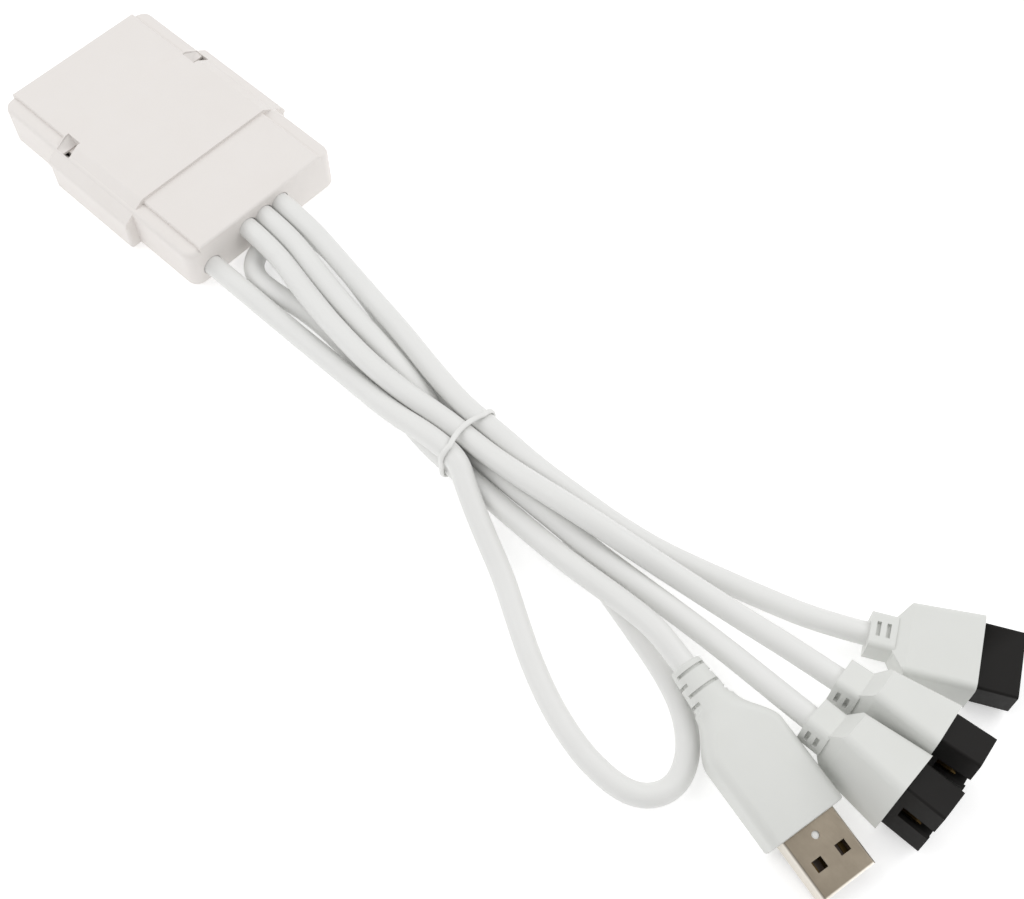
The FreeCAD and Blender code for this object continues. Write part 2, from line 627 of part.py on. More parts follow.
# USB-A plug: slotted strain relief flaring into the grip, metal shell, tongue and contacts.
grip = new_body("usb_grip")
feature(grip, "Pad", "relief",
        polygons(grip, "relief_face", "YZ_Plane", [centred(".relief_width", ".relief_thick")]),
        ".relief_length + 0.5")
round_edges(grip, "relief_sides",
            lambda e: along(e, 0), "1.5")
sketch = new_sketch(grip, "grip_plan", "XY_Plane", "-.grip_thick / 2")
neck = size("relief_width") / 2
wide = size("grip_width") / 2
x_neck = size("relief_length")
x_flare = size("flare_end")
x_tip = size("grip_length")
turn = 2 * math.atan2(wide - neck, x_flare - x_neck)
bend = (x_flare - x_neck) / 2 / math.sin(turn)
x_mid = (x_neck + x_flare) / 2
y_mid = (neck + wide) / 2
RIGHT = [(".relief_length", ".relief_width / 2"), (".flare_end", ".grip_width / 2"),
         (".grip_length", ".grip_width / 2")]
LEFT = [(x, "-" + y) for x, y in RIGHT]


def arc_by(centre, radius, first, last):
    circle = Part.Circle(Vec(centre[0], centre[1], 0), Vec(0, 0, 1), radius)
    return Part.ArcOfCircle(circle, first, last)


quarter = math.pi / 2
near_arc = sketch.addGeometry(arc_by((x_neck, neck + bend), bend, -quarter, -quarter + turn), False)
far_arc = sketch.addGeometry(arc_by((x_flare, wide - bend), bend, quarter, quarter + turn), False)
side = sketch.addGeometry(Part.LineSegment(Vec(x_flare, wide, 0), Vec(x_tip, wide, 0)), False)
tip = sketch.addGeometry(Part.LineSegment(Vec(x_tip, wide, 0), Vec(x_tip, -wide, 0)), False)
side_2 = sketch.addGeometry(Part.LineSegment(Vec(x_tip, -wide, 0), Vec(x_flare, -wide, 0)), False)
far_2 = sketch.addGeometry(arc_by((x_flare, -wide + bend), bend, -quarter - turn, -quarter), False)
near_2 = sketch.addGeometry(arc_by((x_neck, -neck - bend), bend, quarter - turn, quarter), False)
back = sketch.addGeometry(Part.LineSegment(Vec(x_neck, -neck, 0), Vec(x_neck, neck, 0)), False)
for a, pa, b, pb in ((far_arc, 1, side, 1), (side, 2, tip, 1), (tip, 2, side_2, 1), (side_2, 2, far_2, 2),
                     (near_2, 2, back, 1), (back, 2, near_arc, 1)):
    sketch.addConstraint(Sketcher.Constraint("Coincident", a, pa, b, pb))
for a, pa, b, pb in ((near_arc, 2, far_arc, 2), (far_2, 1, near_2, 1)):
    sketch.addConstraint(Sketcher.Constraint("Tangent", a, pa, b, pb))
for arc, point in ((near_arc, 1), (far_arc, 1), (far_2, 2), (near_2, 2)):
    sketch.addConstraint(Sketcher.Constraint("Vertical", arc, 3, arc, point))
for a, b in ((near_arc, far_arc), (far_2, near_2)):
    sketch.addConstraint(Sketcher.Constraint("Equal", a, b))
for geometry, point, spot in ((near_arc, 1, RIGHT[0]), (side, 1, RIGHT[1]), (tip, 1, RIGHT[2]),
                              (side_2, 1, LEFT[2]), (side_2, 2, LEFT[1]), (back, 1, LEFT[0])):
    place_point(sketch, geometry, point, spot)
feature(grip, "Pad", "grip_body", sketch, ".grip_thick")
round_edges(grip, "grip_edges",
            lambda e: near(abs(e.CenterOfMass.z), size("grip_thick") / 2)
            and not (along(e, 1) and e.CenterOfMass.x < x_neck + 0.1), ".grip_round")
ROWS = ["(.relief_length * %.2f)" % part for part in (0.14, 0.36, 0.58, 0.80)]
cuts = []
for number, x in enumerate(ROWS):
    ends = [("-.slot_length / 2", ".slot_length / 2")]
    if number % 2:
        ends = [(".slot_length * 0.25", ".slot_length * 0.7"), ("-.slot_length * 0.7", "-.slot_length * 0.25")]
    for a, b in ends:
        cuts.append(box_corners(x + " - .slot_width / 2", x + " + .slot_width / 2", a, b))
for side_name, offset, flip in (("upper", ".relief_thick / 2", False), ("lower", "-.relief_thick / 2", True)):
    feature(grip, "Pocket", "relief_slots_" + side_name,
            polygons(grip, "relief_slot_plan_" + side_name, "XY_Plane", cuts, offset), ".slot_depth", flip)
feature(grip, "Pocket", "shell_seat",
        polygons(grip, "shell_seat_face", "YZ_Plane", [centred(".usb_width", ".usb_thick")], ".grip_length"),
        ".usb_seat")
nodes.append(grip)

shell = new_body("usb_shell")
feature(shell, "Pad", "shell_outside",
        polygons(shell, "shell_face", "YZ_Plane", [centred(".usb_width - 0.04", ".usb_thick - 0.04")],
                 ".grip_length - .usb_seat"), ".usb_seat + .usb_out")
round_edges(shell, "shell_bends", lambda e: along(e, 0), "0.5")
feature(shell, "Pocket", "shell_inside",
        polygons(shell, "shell_inside_face", "YZ_Plane",
                 [centred(".usb_width - 2 * .usb_metal", ".usb_thick - 2 * .usb_metal")],
                 ".grip_length + .usb_out"), ".usb_seat + .usb_out")
HOLE_X = "(.grip_length + .usb_out * 0.55)"
holes = [box_corners(HOLE_X + " - .usb_hole / 2", HOLE_X + " + .usb_hole / 2",
                     "%s * .usb_hole_gap / 2 - .usb_hole / 2" % s,
                     "%s * .usb_hole_gap / 2 + .usb_hole / 2" % s) for s in ("1", "-1")]
feature(shell, "Pocket", "latch_holes",
        polygons(shell, "latch_hole_plan", "XY_Plane", holes, ".usb_thick"), ".usb_thick * 2")
feature(shell, "Pocket", "seam_dimple",
        circles(shell, "dimple_plan", "XY_Plane", [(".grip_length + 2.2", "0", "0.9")], ".usb_thick"),
        ".usb_thick / 2 + .usb_metal + 0.3")
nodes.append(shell)

insulator = new_body("usb_insulator")
INSIDE = ".usb_width - 2 * .usb_metal - 0.06"
DEEP = ".usb_thick - 2 * .usb_metal - 0.06"
feature(insulator, "Pad", "insulator_block",
        polygons(insulator, "insulator_face", "YZ_Plane", [centred(INSIDE, DEEP)],
                 ".grip_length - .usb_seat"), ".usb_seat - 0.5")
tongue = box_corners("-(%s) / 2" % INSIDE, "(%s) / 2" % INSIDE, "-(%s) / 2" % DEEP,
                     "-(%s) / 2 + .tongue_thick" % DEEP)
feature(insulator, "Pad", "insulator_tongue",
        polygons(insulator, "tongue_face", "YZ_Plane", [tongue], ".grip_length - 1"), ".usb_out + 0.6")
nodes.append(insulator)

strips = [boxed("contact_%d" % i, ".usb_out - 2", "1.0", "0.2", ".grip_length",
                "2.25 * %.1f - 0.5" % (i - 1.5), "-(%s) / 2 + .tongue_thick" % DEEP) for i in range(4)]
contacts = group("usb_contacts", strips)
nodes.append(contacts)
for node in (grip, shell, insulator, contacts):
    node.Placement = USB_PLACE

# Tie: a flat band round the two rows of three cables.
tie = new_body("bundle_tie")
tie_high = "(.cable_d / 2 + .tie_gap + .cable_pitch / 2)"
tie_half = "(.cable_d / 2 + .tie_gap + .cable_pitch)"
feature(tie, "Pad", "tie_block",
        polygons(tie, "tie_outer", "YZ_Plane",
                 [centred("2 * %s + 2 * .tie_thick" % tie_half, "2 * %s + 2 * .tie_thick" % tie_high)],
                 "-.tie_width / 2"), ".tie_width")
feature(tie, "Pocket", "tie_opening",
        polygons(tie, "tie_inner", "YZ_Plane", [centred("2 * " + tie_half, "2 * " + tie_high)],
                 ".tie_width / 2"), ".tie_width + 1")
inside = worth(lettered(tie_half)) + 0.01
round_edges(tie, "tie_inner_corners",
            lambda e: along(e, 0) and near(abs(e.Vertexes[0].Y), inside, 0.05)
            and near(abs(e.Vertexes[0].Z), worth(lettered(tie_high)), 0.05), ".cable_d / 2 + .tie_gap")
round_edges(tie, "tie_corners",
            lambda e: along(e, 0) and near(abs(e.Vertexes[0].Y), inside + size("tie_thick"), 0.05)
            and near(abs(e.Vertexes[0].Z), worth(lettered(tie_high)) + size("tie_thick"), 0.05),
            ".cable_d / 2 + .tie_gap + .tie_thick")
tie.Placement = FreeCAD.Placement(Vec(tie_x, tie_y, (low_row + high_row) / 2), FreeCAD.Rotation())
nodes.append(tie)

doc.recompute()
for thing in doc.Objects:
    assert "Invalid" not in thing.State and "Error" not in thing.State, (thing.Name, thing.State)
os.makedirs("parts", exist_ok=True)
for node in nodes:
    assert not node.Shape.isNull() and node.Shape.isValid(), node.Label
    assert node.Shape.Solids, node.Label
    node.Shape.exportStep("parts/%s.step" % node.Label)
print("written", len(nodes), "parts")
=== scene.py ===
# %% [markdown]
# # An internal USB hub with its tied cables
# A small white case holds a circuit board. Three short cables end in pin-header plugs, and one
# longer cable ends in a USB-A plug. All of them are gathered by a thin tie. The solids come from
# the CAD model, which is loaded first and is never moved: every piece here is in metres and in
# the CAD model's own frame, with the origin under the case and X towards the cables. A piece's
# sizes are written in millimetres, as in the CAD model, and become metres when it is placed.

# %% Load the CAD model
import math

import bmesh
import bpy
from mathutils import Matrix, Vector


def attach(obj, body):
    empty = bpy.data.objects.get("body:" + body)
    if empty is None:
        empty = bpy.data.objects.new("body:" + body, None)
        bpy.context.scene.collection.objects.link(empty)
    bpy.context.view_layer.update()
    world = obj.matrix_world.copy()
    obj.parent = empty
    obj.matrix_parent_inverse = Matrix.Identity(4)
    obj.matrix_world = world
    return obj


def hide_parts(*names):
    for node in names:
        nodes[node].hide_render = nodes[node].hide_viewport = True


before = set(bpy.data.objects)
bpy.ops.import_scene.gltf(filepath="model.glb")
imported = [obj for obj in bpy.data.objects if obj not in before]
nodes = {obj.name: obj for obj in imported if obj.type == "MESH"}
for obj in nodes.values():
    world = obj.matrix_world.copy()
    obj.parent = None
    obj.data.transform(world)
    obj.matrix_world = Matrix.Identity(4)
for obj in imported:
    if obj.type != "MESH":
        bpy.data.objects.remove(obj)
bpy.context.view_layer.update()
scene = bpy.context.scene
PER_METRE = 1000.0
print("CAD nodes:", len(nodes))

# %% [markdown]
# ## The camera
# The view is from above at 60 degrees, turned 43 degrees from the case's length. A camera can be
# placed by eye, but here the known width of the plug's metal shell and the corners of the case gave
# the distance and the lens, so that sizes can be read from the same view.

# %% Place the camera
CAMERA_SPOT = (0.21757, -0.11592, 0.2661)
CAMERA_TILT, CAMERA_TURN = math.radians(30.0), math.radians(43.0)
LENS, SENSOR_WIDE, NEAR_CLIP = 51.46, 36.0, 0.01
camera_data = bpy.data.cameras.new("view_camera")
camera_data.sensor_fit = "HORIZONTAL"
camera_data.sensor_width = SENSOR_WIDE
camera_data.lens = LENS
camera_data.clip_start = NEAR_CLIP
camera = bpy.data.objects.new("view_camera", camera_data)
camera.location = CAMERA_SPOT
camera.rotation_euler = (CAMERA_TILT, 0.0, CAMERA_TURN)
scene.collection.objects.link(camera)
scene.camera = camera
print("lens", camera_data.lens)

# %% [markdown]
# ## Shader maths in Python
# A procedural finish is a small sum: noise times a factor, added to a colour or a roughness.
# Wrapping a socket in a class lets such a sum be written as Python, and each operator then adds
# its own Math node.


# %% A socket that can be used in sums
class Value:
    """One output socket of a finish's node tree."""

    def __init__(self, finish, socket):
        self.finish = finish
        self.socket = socket

    def maths(self, operation, other):
        return self.finish.node("ShaderNodeMath", {"operation": operation}, {0: self, 1: other})

    def __add__(self, other):
        return self.maths("ADD", other)

    def __mul__(self, other):
        return self.maths("MULTIPLY", other)


print("sockets can be added and multiplied")


# %% A finish built from nodes
class Finish:
    """A material, with one method that adds any node."""

    def __init__(self, name):
        self.material = bpy.data.materials.new(name)
        self.material.use_nodes = True
        self.tree = self.material.node_tree
        self.tree.nodes.clear()

    def node(self, kind, settings=None, sockets=None, out=0):
        made = self.tree.nodes.new(kind)
        for key, setting in (settings or {}).items():
            setattr(made, key, setting)
        for key, value in (sockets or {}).items():
            if isinstance(value, Value):
                self.tree.links.new(value.socket, made.inputs[key])
            else:
                made.inputs[key].default_value = value
        return Value(self, made.outputs[out]) if len(made.outputs) else None

    def place(self):
        return self.node("ShaderNodeTexCoord", out="Object")

    def noise(self, scale, detail=3.0, rough=0.5, where=None):
        return self.node("ShaderNodeTexNoise", {}, {
            "Vector": where or self.place(), "Scale": scale, "Detail": detail, "Roughness": rough})

    def mix(self, share, first, second):
        """The Mix node keeps its colours in sockets 6 and 7 and gives them out at 2."""
        return self.node("ShaderNodeMix", {"data_type": "RGBA"},
                         {0: share, 6: first, 7: second}, out=2)

    def bump(self, height, distance, strength):
        return self.node("ShaderNodeBump", {}, {
            "Height": height, "Distance": distance, "Strength": strength})

    def surface(self, **sockets):
        inputs = {key.replace("_", " "): value for key, value in sockets.items()}
        shader = self.node("ShaderNodeBsdfPrincipled", {}, inputs)
        self.node("ShaderNodeOutputMaterial", {}, {"Surface": shader})
        return self.material


def rgb(red, green, blue):
    """Display colour of 0 to 255 as the linear colour that a shader takes."""
    def line(c):
        c /= 255.0
        return c / 12.92 if c <= 0.04045 else ((c + 0.055) / 1.055) ** 2.4
    return (line(red), line(green), line(blue), 1.0)


print("shader helpers ready")

# %% [markdown]
# ## Moulded white plastic
# The case, the plugs and the cable jackets are all off-white, but not the same: the case is a
# warm satin moulding with a fine spark-eroded grain, the plugs are a softer, slightly greenish
# vinyl, and the jackets are smooth. The grain is a bump of a fraction of a millimetre, and wide,
# faint noise keeps the colour from being one flat value.

# %% White plastics
CLOUD_SCALE, CLOUD_SHARE = 55.0, 0.7
SMUDGE_SCALE, SMUDGE_SHARE = 220.0, 0.3
GLOSS_SPREAD, GRAIN_STRENGTH = 0.14, 0.6


def moulded_white(name, colour, shade, roughness, grain, depth):
    """Off-white moulding: faint clouding of the colour, fine grain, uneven gloss."""
    finish = Finish(name)
    cloud = finish.noise(CLOUD_SCALE)
    smudge = finish.noise(SMUDGE_SCALE, 4.0, 0.6)
    grains = finish.noise(grain, 2.0)
    share = cloud * CLOUD_SHARE + smudge * SMUDGE_SHARE
    return finish.surface(
        Base_Color=finish.mix(share, rgb(*colour), rgb(*shade)),
        Roughness=smudge * GLOSS_SPREAD + (roughness - GLOSS_SPREAD / 2),
        Normal=finish.bump(grains, depth, GRAIN_STRENGTH),
    )


case_white = moulded_white(
    "case_satin_white", (232, 228, 225), (227, 222, 218), 0.55, 2600.0, 0.00002)
plug_white = moulded_white(
    "plug_soft_white", (222, 223, 220), (216, 217, 213), 0.58, 3200.0, 0.000012)
jacket_white = moulded_white(
    "jacket_white", (231, 231, 229), (226, 226, 224), 0.50, 1500.0, 0.00001)
tie_white = moulded_white(
    "tie_white", (234, 234, 232), (226, 226, 223), 0.42, 1800.0, 0.00001)
print("white plastics:", 4)

# %% [markdown]
# ## Where the plugs lie
# The CAD model places each plug by the middle of its rear end, a turn about the upright, a dip of
# the nose and a roll about its own length. The same numbers, as a matrix, put the pieces made
# below into the plugs, and tell a finish where it is in a plug.

# %% Plug places in millimetres and degrees
PLUG_PLACES = {
    "top": ((192.5, 10.8, 5.35), 27.0, 0.0, 0.0),
    "middle": ((194.5, -2.1, 8.977), 5.7, 0.0, 78.0),
    "lower": ((195.3, -11.6, 8.977), 0.6, 0.0, 78.0),
    "usb": ((171.7, -19.4, 8.9), -12.0, 7.3, 0.0),
}
TO_METRES = Matrix.Scale(1 / PER_METRE, 4)


def plug_matrix(name):
    """Millimetres in a plug's own frame to metres in the CAD frame."""
    spot, yaw, dip, roll = PLUG_PLACES[name]
    turn = Matrix.Rotation(math.radians(yaw), 4, "Z")
    turn = turn @ Matrix.Rotation(math.radians(dip), 4, "Y")
    turn = turn @ Matrix.Rotation(math.radians(roll), 4, "X")
    return TO_METRES @ Matrix.Translation(spot) @ turn


print("plugs placed:", len(PLUG_PLACES))

# %% [markdown]
# ## Black sleeves
# The sleeves are black plastic that still shows a soft sheen on its edges. Fine dust makes the
# black a little uneven. Noise does this at any scale, with no image and no unwrapping.

# %% Black plastic
DUST_SCALE, DUST_SPREAD, SOFT_SHEEN = 900.0, 0.2, 0.18
FINE_SCALE, FINE_DEPTH, FINE_STRENGTH = 3000.0, 0.00001, 0.5


def black_plastic(name, dark, light, roughness):
    finish = Finish(name)
    dust = finish.noise(DUST_SCALE, 4.0, 0.6)
    grains = finish.noise(FINE_SCALE, 2.0)
    return finish.surface(
        Base_Color=finish.mix(dust, rgb(*dark), rgb(*light)),
        Roughness=dust * DUST_SPREAD + (roughness - DUST_SPREAD / 2),
        Specular_IOR_Level=SOFT_SHEEN,
        Normal=finish.bump(grains, FINE_DEPTH, FINE_STRENGTH),
    )


sleeve_black = black_plastic("sleeve_black", (15, 14, 13), (27, 25, 23), 0.55)
print("black plastics:", 1)

# %% [markdown]
# ## Plated metal and the plug's tongue
# The shell of the USB-A plug is thin plated sheet, drawn along its length, so its roughness changes
# in fine streaks. Its bent sides and its mouth carry a painted highlight: a brighter colour stands
# in for the light that their rounded edges catch. A Mapping node turns the place into the plug's
# own millimetres, and the share of painted highlight follows from how far out to the side, or
# towards the mouth, that place is. The insulator inside is white behind and painted dark in front,
# as painted shade where it is seen through the latch holes, and its edge is found in the same way.

# %% Metal finishes, a painted highlight and a painted shade
# painted highlight: a brighter colour on the shell's sides and mouth stands in for light on their
# rounded edges
RIM_HIGHLIGHT = (226, 220, 210)
SHELL_RIM = ("usb", (5.5, 5.9), (47.2, 47.6))
PAST_THE_SIDES = (8.0, 9.0)
TONGUE_FRONT = ("usb", PAST_THE_SIDES, (39.1, 39.3))
STREAK_SCALE, STREAK_SPREAD, STREAK_DEPTH = (60.0, 2600.0, 2600.0), 0.18, 0.000004
TARNISH_SCALE, TARNISH_SPREAD, CORE_SCALE = 260.0, 0.06, 300.0
USB_TURN = math.radians(-PLUG_PLACES["usb"][1])


def share_past(finish, plug, sides, front):
    """Rises from 0 to 1 between two places, across or along a plug's own frame."""
    spot, turn, scale = plug_matrix(plug).decompose()
    place = finish.node("ShaderNodeMapping", {"vector_type": "TEXTURE"}, {
        "Vector": finish.place(), "Location": spot, "Rotation": turn.to_euler(), "Scale": scale})
    along = finish.node("ShaderNodeSeparateXYZ", {}, {0: place}, out="X")
    across = finish.node("ShaderNodeSeparateXYZ", {}, {0: place}, out="Y")
    across = finish.node("ShaderNodeMath", {"operation": "ABSOLUTE"}, {0: across})
    shares = [finish.node("ShaderNodeMapRange", {"interpolation_type": "SMOOTHSTEP"},
                          {"Value": value, "From Min": low, "From Max": high})
              for value, (low, high) in ((across, sides), (along, front))]
    return finish.node("ShaderNodeMath", {"operation": "MAXIMUM"}, {0: shares[0], 1: shares[1]})


def plated_sheet(name, light, dark, roughness, turn=0.0, rim=None):
    finish = Finish(name)
    drawn = finish.node("ShaderNodeMapping", {}, {
        "Vector": finish.place(), "Rotation": (0, 0, turn), "Scale": STREAK_SCALE})
    streaks = finish.noise(1.0, 3.0, 0.6, drawn)
    tarnish = finish.noise(TARNISH_SCALE, 4.0, 0.6)
    base = finish.mix(tarnish, rgb(*light), rgb(*dark))
    if rim:
        # the painted highlight is mixed in towards the shell's sides and mouth
        base = finish.mix(share_past(finish, *rim), base, rgb(*RIM_HIGHLIGHT))
    return finish.surface(
        Base_Color=base,
        Metallic=1.0,
        Roughness=(streaks * STREAK_SPREAD + (roughness - STREAK_SPREAD / 2)
                   + tarnish * TARNISH_SPREAD),
        Normal=finish.bump(streaks, STREAK_DEPTH, 0.4),
    )


def plastic_with_painted_shade(name, rear, dark, light, roughness, edge):
    """One colour behind a place in a plug's own frame and a clouded one in front of it, here
    painted shade.
    """
    finish = Finish(name)
    cloud = finish.noise(CORE_SCALE)
    front = finish.mix(cloud, rgb(*dark), rgb(*light))
    return finish.surface(
        Base_Color=finish.mix(share_past(finish, *edge), rgb(*rear), front),
        Roughness=cloud * GLOSS_SPREAD + (roughness - GLOSS_SPREAD / 2),
    )


# painted reflection: these nickel colours are darker and browner than bare nickel, standing in for
# a darker surround
shell_metal = plated_sheet(
    "shell_nickel_painted_reflection", (138, 129, 115), (116, 107, 94), 0.32, USB_TURN, SHELL_RIM)
# painted shade: this gold is far darker than plated gold, so pins look shaded inside the sleeves'
# key slots
gold_with_painted_shade = plated_sheet("gold_with_painted_shade", (96, 78, 46), (78, 63, 38), 0.45)
can_metal = plated_sheet("can_metal", (206, 206, 208), (184, 184, 186), 0.3)
# painted shade: the tongue's front is dark brown so that the latch holes look shaded inside
tongue_finish = plastic_with_painted_shade(
    "tongue_painted_shade", (236, 236, 233), (66, 52, 40), (84, 66, 50), 0.5, TONGUE_FRONT)
print("metals:", 3)

# %% [markdown]
# ## Inside the case
# The board can't be seen in the closed case, but the part is also looked at opened up, so the
# board, its components and the cable cores get finishes of their own. Tracks could be drawn on it,
# but they would be a guess, so the green lacquer only gets the weave of the glass cloth under it.

# %% Board finishes
WEAVE_SCALE, WEAVE_SPREAD, BOARD_GLOSS = 1400.0, 0.12, 0.26
LACQUER_SCALE, CORE_SPREAD, CORE_GLOSS = 120.0, 0.15, 0.32


def board_green(name, dark, light):
    finish = Finish(name)
    weave = finish.noise(WEAVE_SCALE, 2.0)
    cloud = finish.noise(LACQUER_SCALE)
    return finish.surface(
        Base_Color=finish.mix(cloud, rgb(*dark), rgb(*light)),
        Roughness=weave * WEAVE_SPREAD + BOARD_GLOSS,
        Normal=finish.bump(weave, FINE_DEPTH, FINE_STRENGTH),
    )


def core_plastic(name, light, dark):
    finish = Finish(name)
    cloud = finish.noise(CORE_SCALE)
    return finish.surface(
        Base_Color=finish.mix(cloud, rgb(*light), rgb(*dark)),
        Roughness=cloud * CORE_SPREAD + CORE_GLOSS,
    )


board_finish = board_green("board_lacquer", (22, 92, 52), (30, 112, 62))
core_finish = core_plastic("core_insulation", (176, 40, 34), (150, 30, 26))
chip_finish = black_plastic("chip_resin", (22, 22, 23), (40, 40, 41), 0.5)
print("board finishes:", 3)

# %% [markdown]
# ## Finishes on the solids
# Each CAD node takes the finish of what it is made of. A node that a piece below stands for gets
# one too, so that the solids look right by themselves.

# %% Give the CAD nodes their finishes
PLUG_NAMES = ("top", "middle", "lower")
finish_of = {
    "upper_case": case_white, "lower_case": case_white, "bundle_tie": tie_white,
    "circuit_board": board_finish, "hub_chip": chip_finish, "crystal_can": can_metal,
    "board_capacitors": can_metal, "board_resistors": chip_finish, "usb_wires": core_finish,
    "usb_grip": plug_white, "usb_shell": shell_metal, "usb_insulator": tongue_finish,
    "usb_contacts": gold_with_painted_shade, "usb_cable": jacket_white,
}
for name in PLUG_NAMES:
    finish_of["header_boot_" + name] = plug_white
    finish_of["header_shroud_" + name] = sleeve_black
    finish_of["header_pins_" + name] = gold_with_painted_shade
    finish_of["header_wires_" + name] = core_finish
    finish_of["header_cable_" + name] = jacket_white
for name, finish in finish_of.items():
    nodes[name].data.materials.clear()
    nodes[name].data.materials.append(finish)
print("finished nodes:", len(finish_of))

# %% [markdown]
# ## Pins and contacts with Geometry Nodes
# A header plug holds two rows of square pins with tapered tips, with one place left blank as a
# key, and a USB-A plug holds four flat contacts with eased edges. Each is one small shape that
# repeats on a pitch, which is what Geometry Nodes do best: a grid of points, one shape put on each
# point, and the copies made real at the end. First comes a class that makes such a node group
# short to write.


# %% A Geometry Nodes group
class Tree:
    """A Geometry Nodes group with named number inputs."""

    def __init__(self, name, inputs):
        self.group = bpy.data.node_groups.new(name, "GeometryNodeTree")
        interface = self.group.interface
        for label, kind in inputs:
            interface.new_socket(label, in_out="INPUT", socket_type=kind)
        interface.new_socket("Geometry", in_out="OUTPUT", socket_type="NodeSocketGeometry")
        self.ins = self.group.nodes.new("NodeGroupInput")
        self.outs = self.group.nodes.new("NodeGroupOutput")

    def given(self, label):
        return self.ins.outputs[label]

    def node(self, kind, settings=None, sockets=None):
        made = self.group.nodes.new(kind)
        for key, setting in (settings or {}).items():
            setattr(made, key, setting)
        for key, value in (sockets or {}).items():
            if isinstance(value, bpy.types.NodeSocket):
                self.group.links.new(value, made.inputs[key])
            else:
                made.inputs[key].default_value = value
        return made

    def first(self, kind, settings=None, sockets=None):
        return self.node(kind, settings, sockets).outputs[0]

    def maths(self, operation, first, second):
        return self.first("ShaderNodeMath", {"operation": operation}, {0: first, 1: second})

    def close(self, geometry, material):
        real = self.first("GeometryNodeRealizeInstances", {}, {"Geometry": geometry})
        done = self.first("GeometryNodeSetMaterial", {}, {"Geometry": real, "Material": material})
        self.group.links.new(done, self.outs.inputs[0])

    def mesh(self, name, values):
        """Runs the tree with given sizes and returns a plain mesh."""
        holder = bpy.data.objects.new(name + "_maker", bpy.data.meshes.new(name + "_maker"))
        scene.collection.objects.link(holder)
        maker = holder.modifiers.new(name, "NODES")
        maker.node_group = self.group
        for item in self.group.interface.items_tree:
            if item.in_out == "INPUT":
                maker[item.identifier] = values[item.name]
        graph = bpy.context.evaluated_depsgraph_get()
        made = bpy.data.meshes.new_from_object(holder.evaluated_get(graph))
        bpy.data.objects.remove(holder)
        made.name = name
        return made


print("node group class ready")

# %% [markdown]
# The shape is a block whose outer face is pushed out once more and shrunk, which makes the taper.
# The last places of the grid can be left blank.

# %% A node tree that repeats a tapered block
LENGTH_INPUTS = ("Pitch Across", "Pitch Along", "Block Across", "Block Along", "Block Height",
                 "Taper", "Shrink")
COUNT_INPUTS = ("Count Across", "Count Along", "Blank From")
UPWARD = 0.9


def tapered_block_rows(name, material):
    """Blocks that stand on a grid of points, with the last places left blank."""
    tree = Tree(name, [(label, "NodeSocketFloat") for label in LENGTH_INPUTS]
                + [(label, "NodeSocketInt") for label in COUNT_INPUTS])
    spans = []
    for way in ("Across", "Along"):
        gaps = tree.maths("SUBTRACT", tree.given("Count " + way), 1.0)
        spans.append(tree.maths("MULTIPLY", gaps, tree.given("Pitch " + way)))
    grid = tree.first("GeometryNodeMeshGrid", {}, {
        "Size X": spans[0], "Size Y": spans[1],
        "Vertices X": tree.given("Count Across"), "Vertices Y": tree.given("Count Along")})
    index = tree.first("GeometryNodeInputIndex")
    blank = tree.first("FunctionNodeCompare",
                       {"data_type": "INT", "operation": "GREATER_EQUAL"},
                       {2: index, 3: tree.given("Blank From")})
    kept = tree.first("GeometryNodeDeleteGeometry", {"domain": "POINT"},
                      {"Geometry": grid, "Selection": blank})
    straight = tree.maths("SUBTRACT", tree.given("Block Height"), tree.given("Taper"))
    size = tree.first("ShaderNodeCombineXYZ", {}, {
        0: tree.given("Block Across"), 1: tree.given("Block Along"), 2: straight})
    lift = tree.first("ShaderNodeCombineXYZ", {}, {2: tree.maths("MULTIPLY", straight, 0.5)})
    block = tree.first("GeometryNodeMeshCube", {}, {"Size": size})
    block = tree.first("GeometryNodeTransform", {}, {"Geometry": block, "Translation": lift})
    normal = tree.first("GeometryNodeInputNormal")
    facing = tree.node("ShaderNodeSeparateXYZ", {}, {0: normal}).outputs["Z"]
    end = tree.first("FunctionNodeCompare",
                     {"data_type": "FLOAT", "operation": "GREATER_THAN"}, {0: facing, 1: UPWARD})
    pushed = tree.node("GeometryNodeExtrudeMesh", {"mode": "FACES"}, {
        "Mesh": block, "Selection": end, "Offset Scale": tree.given("Taper")})
    tip = tree.first("GeometryNodeScaleElements", {"domain": "FACE"}, {
        "Geometry": pushed.outputs["Mesh"], "Selection": pushed.outputs["Top"],
        "Scale": tree.given("Shrink")})
    copies = tree.first("GeometryNodeInstanceOnPoints", {}, {"Points": kept, "Instance": tip})
    tree.close(copies, material)
    return tree


block_rows = tapered_block_rows("tapered_block_rows", gold_with_painted_shade)
print("tree nodes:", len(block_rows.group.nodes))

# %% [markdown]
# The tree builds its blocks upwards on a flat grid. For the pins, a turn that swaps the axes round
# makes upwards the plug's own length. The finished mesh then takes the plug's matrix, so that the
# object itself stays at the origin. The top plug lies with its key slot under it, so its pins and
# its sleeve are turned over in the plug.

# %% Header pins
ALONG_PLUG = Matrix(((0, 0, 1, 0), (1, 0, 0, 0), (0, 1, 0, 0), (0, 0, 0, 1)))
PIN_START = 16.5
TURNED = {"top": Matrix.Rotation(math.pi, 4, "X")}
PIN_SIZES = {"Pitch Across": 2.54, "Pitch Along": 2.54, "Block Across": 0.64, "Block Along": 0.64,
             "Block Height": 9.5, "Taper": 0.9, "Shrink": 0.45,
             "Count Across": 5, "Count Along": 2, "Blank From": 9}


def put(name, mesh, node=None):
    """Adds a mesh at the origin, on the body, and in place of a CAD node if there is one."""
    piece = bpy.data.objects.new(name, mesh)
    scene.collection.objects.link(piece)
    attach(piece, "root")
    if node:
        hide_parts(node)
    print(name, len(mesh.polygons), "faces")
    return piece


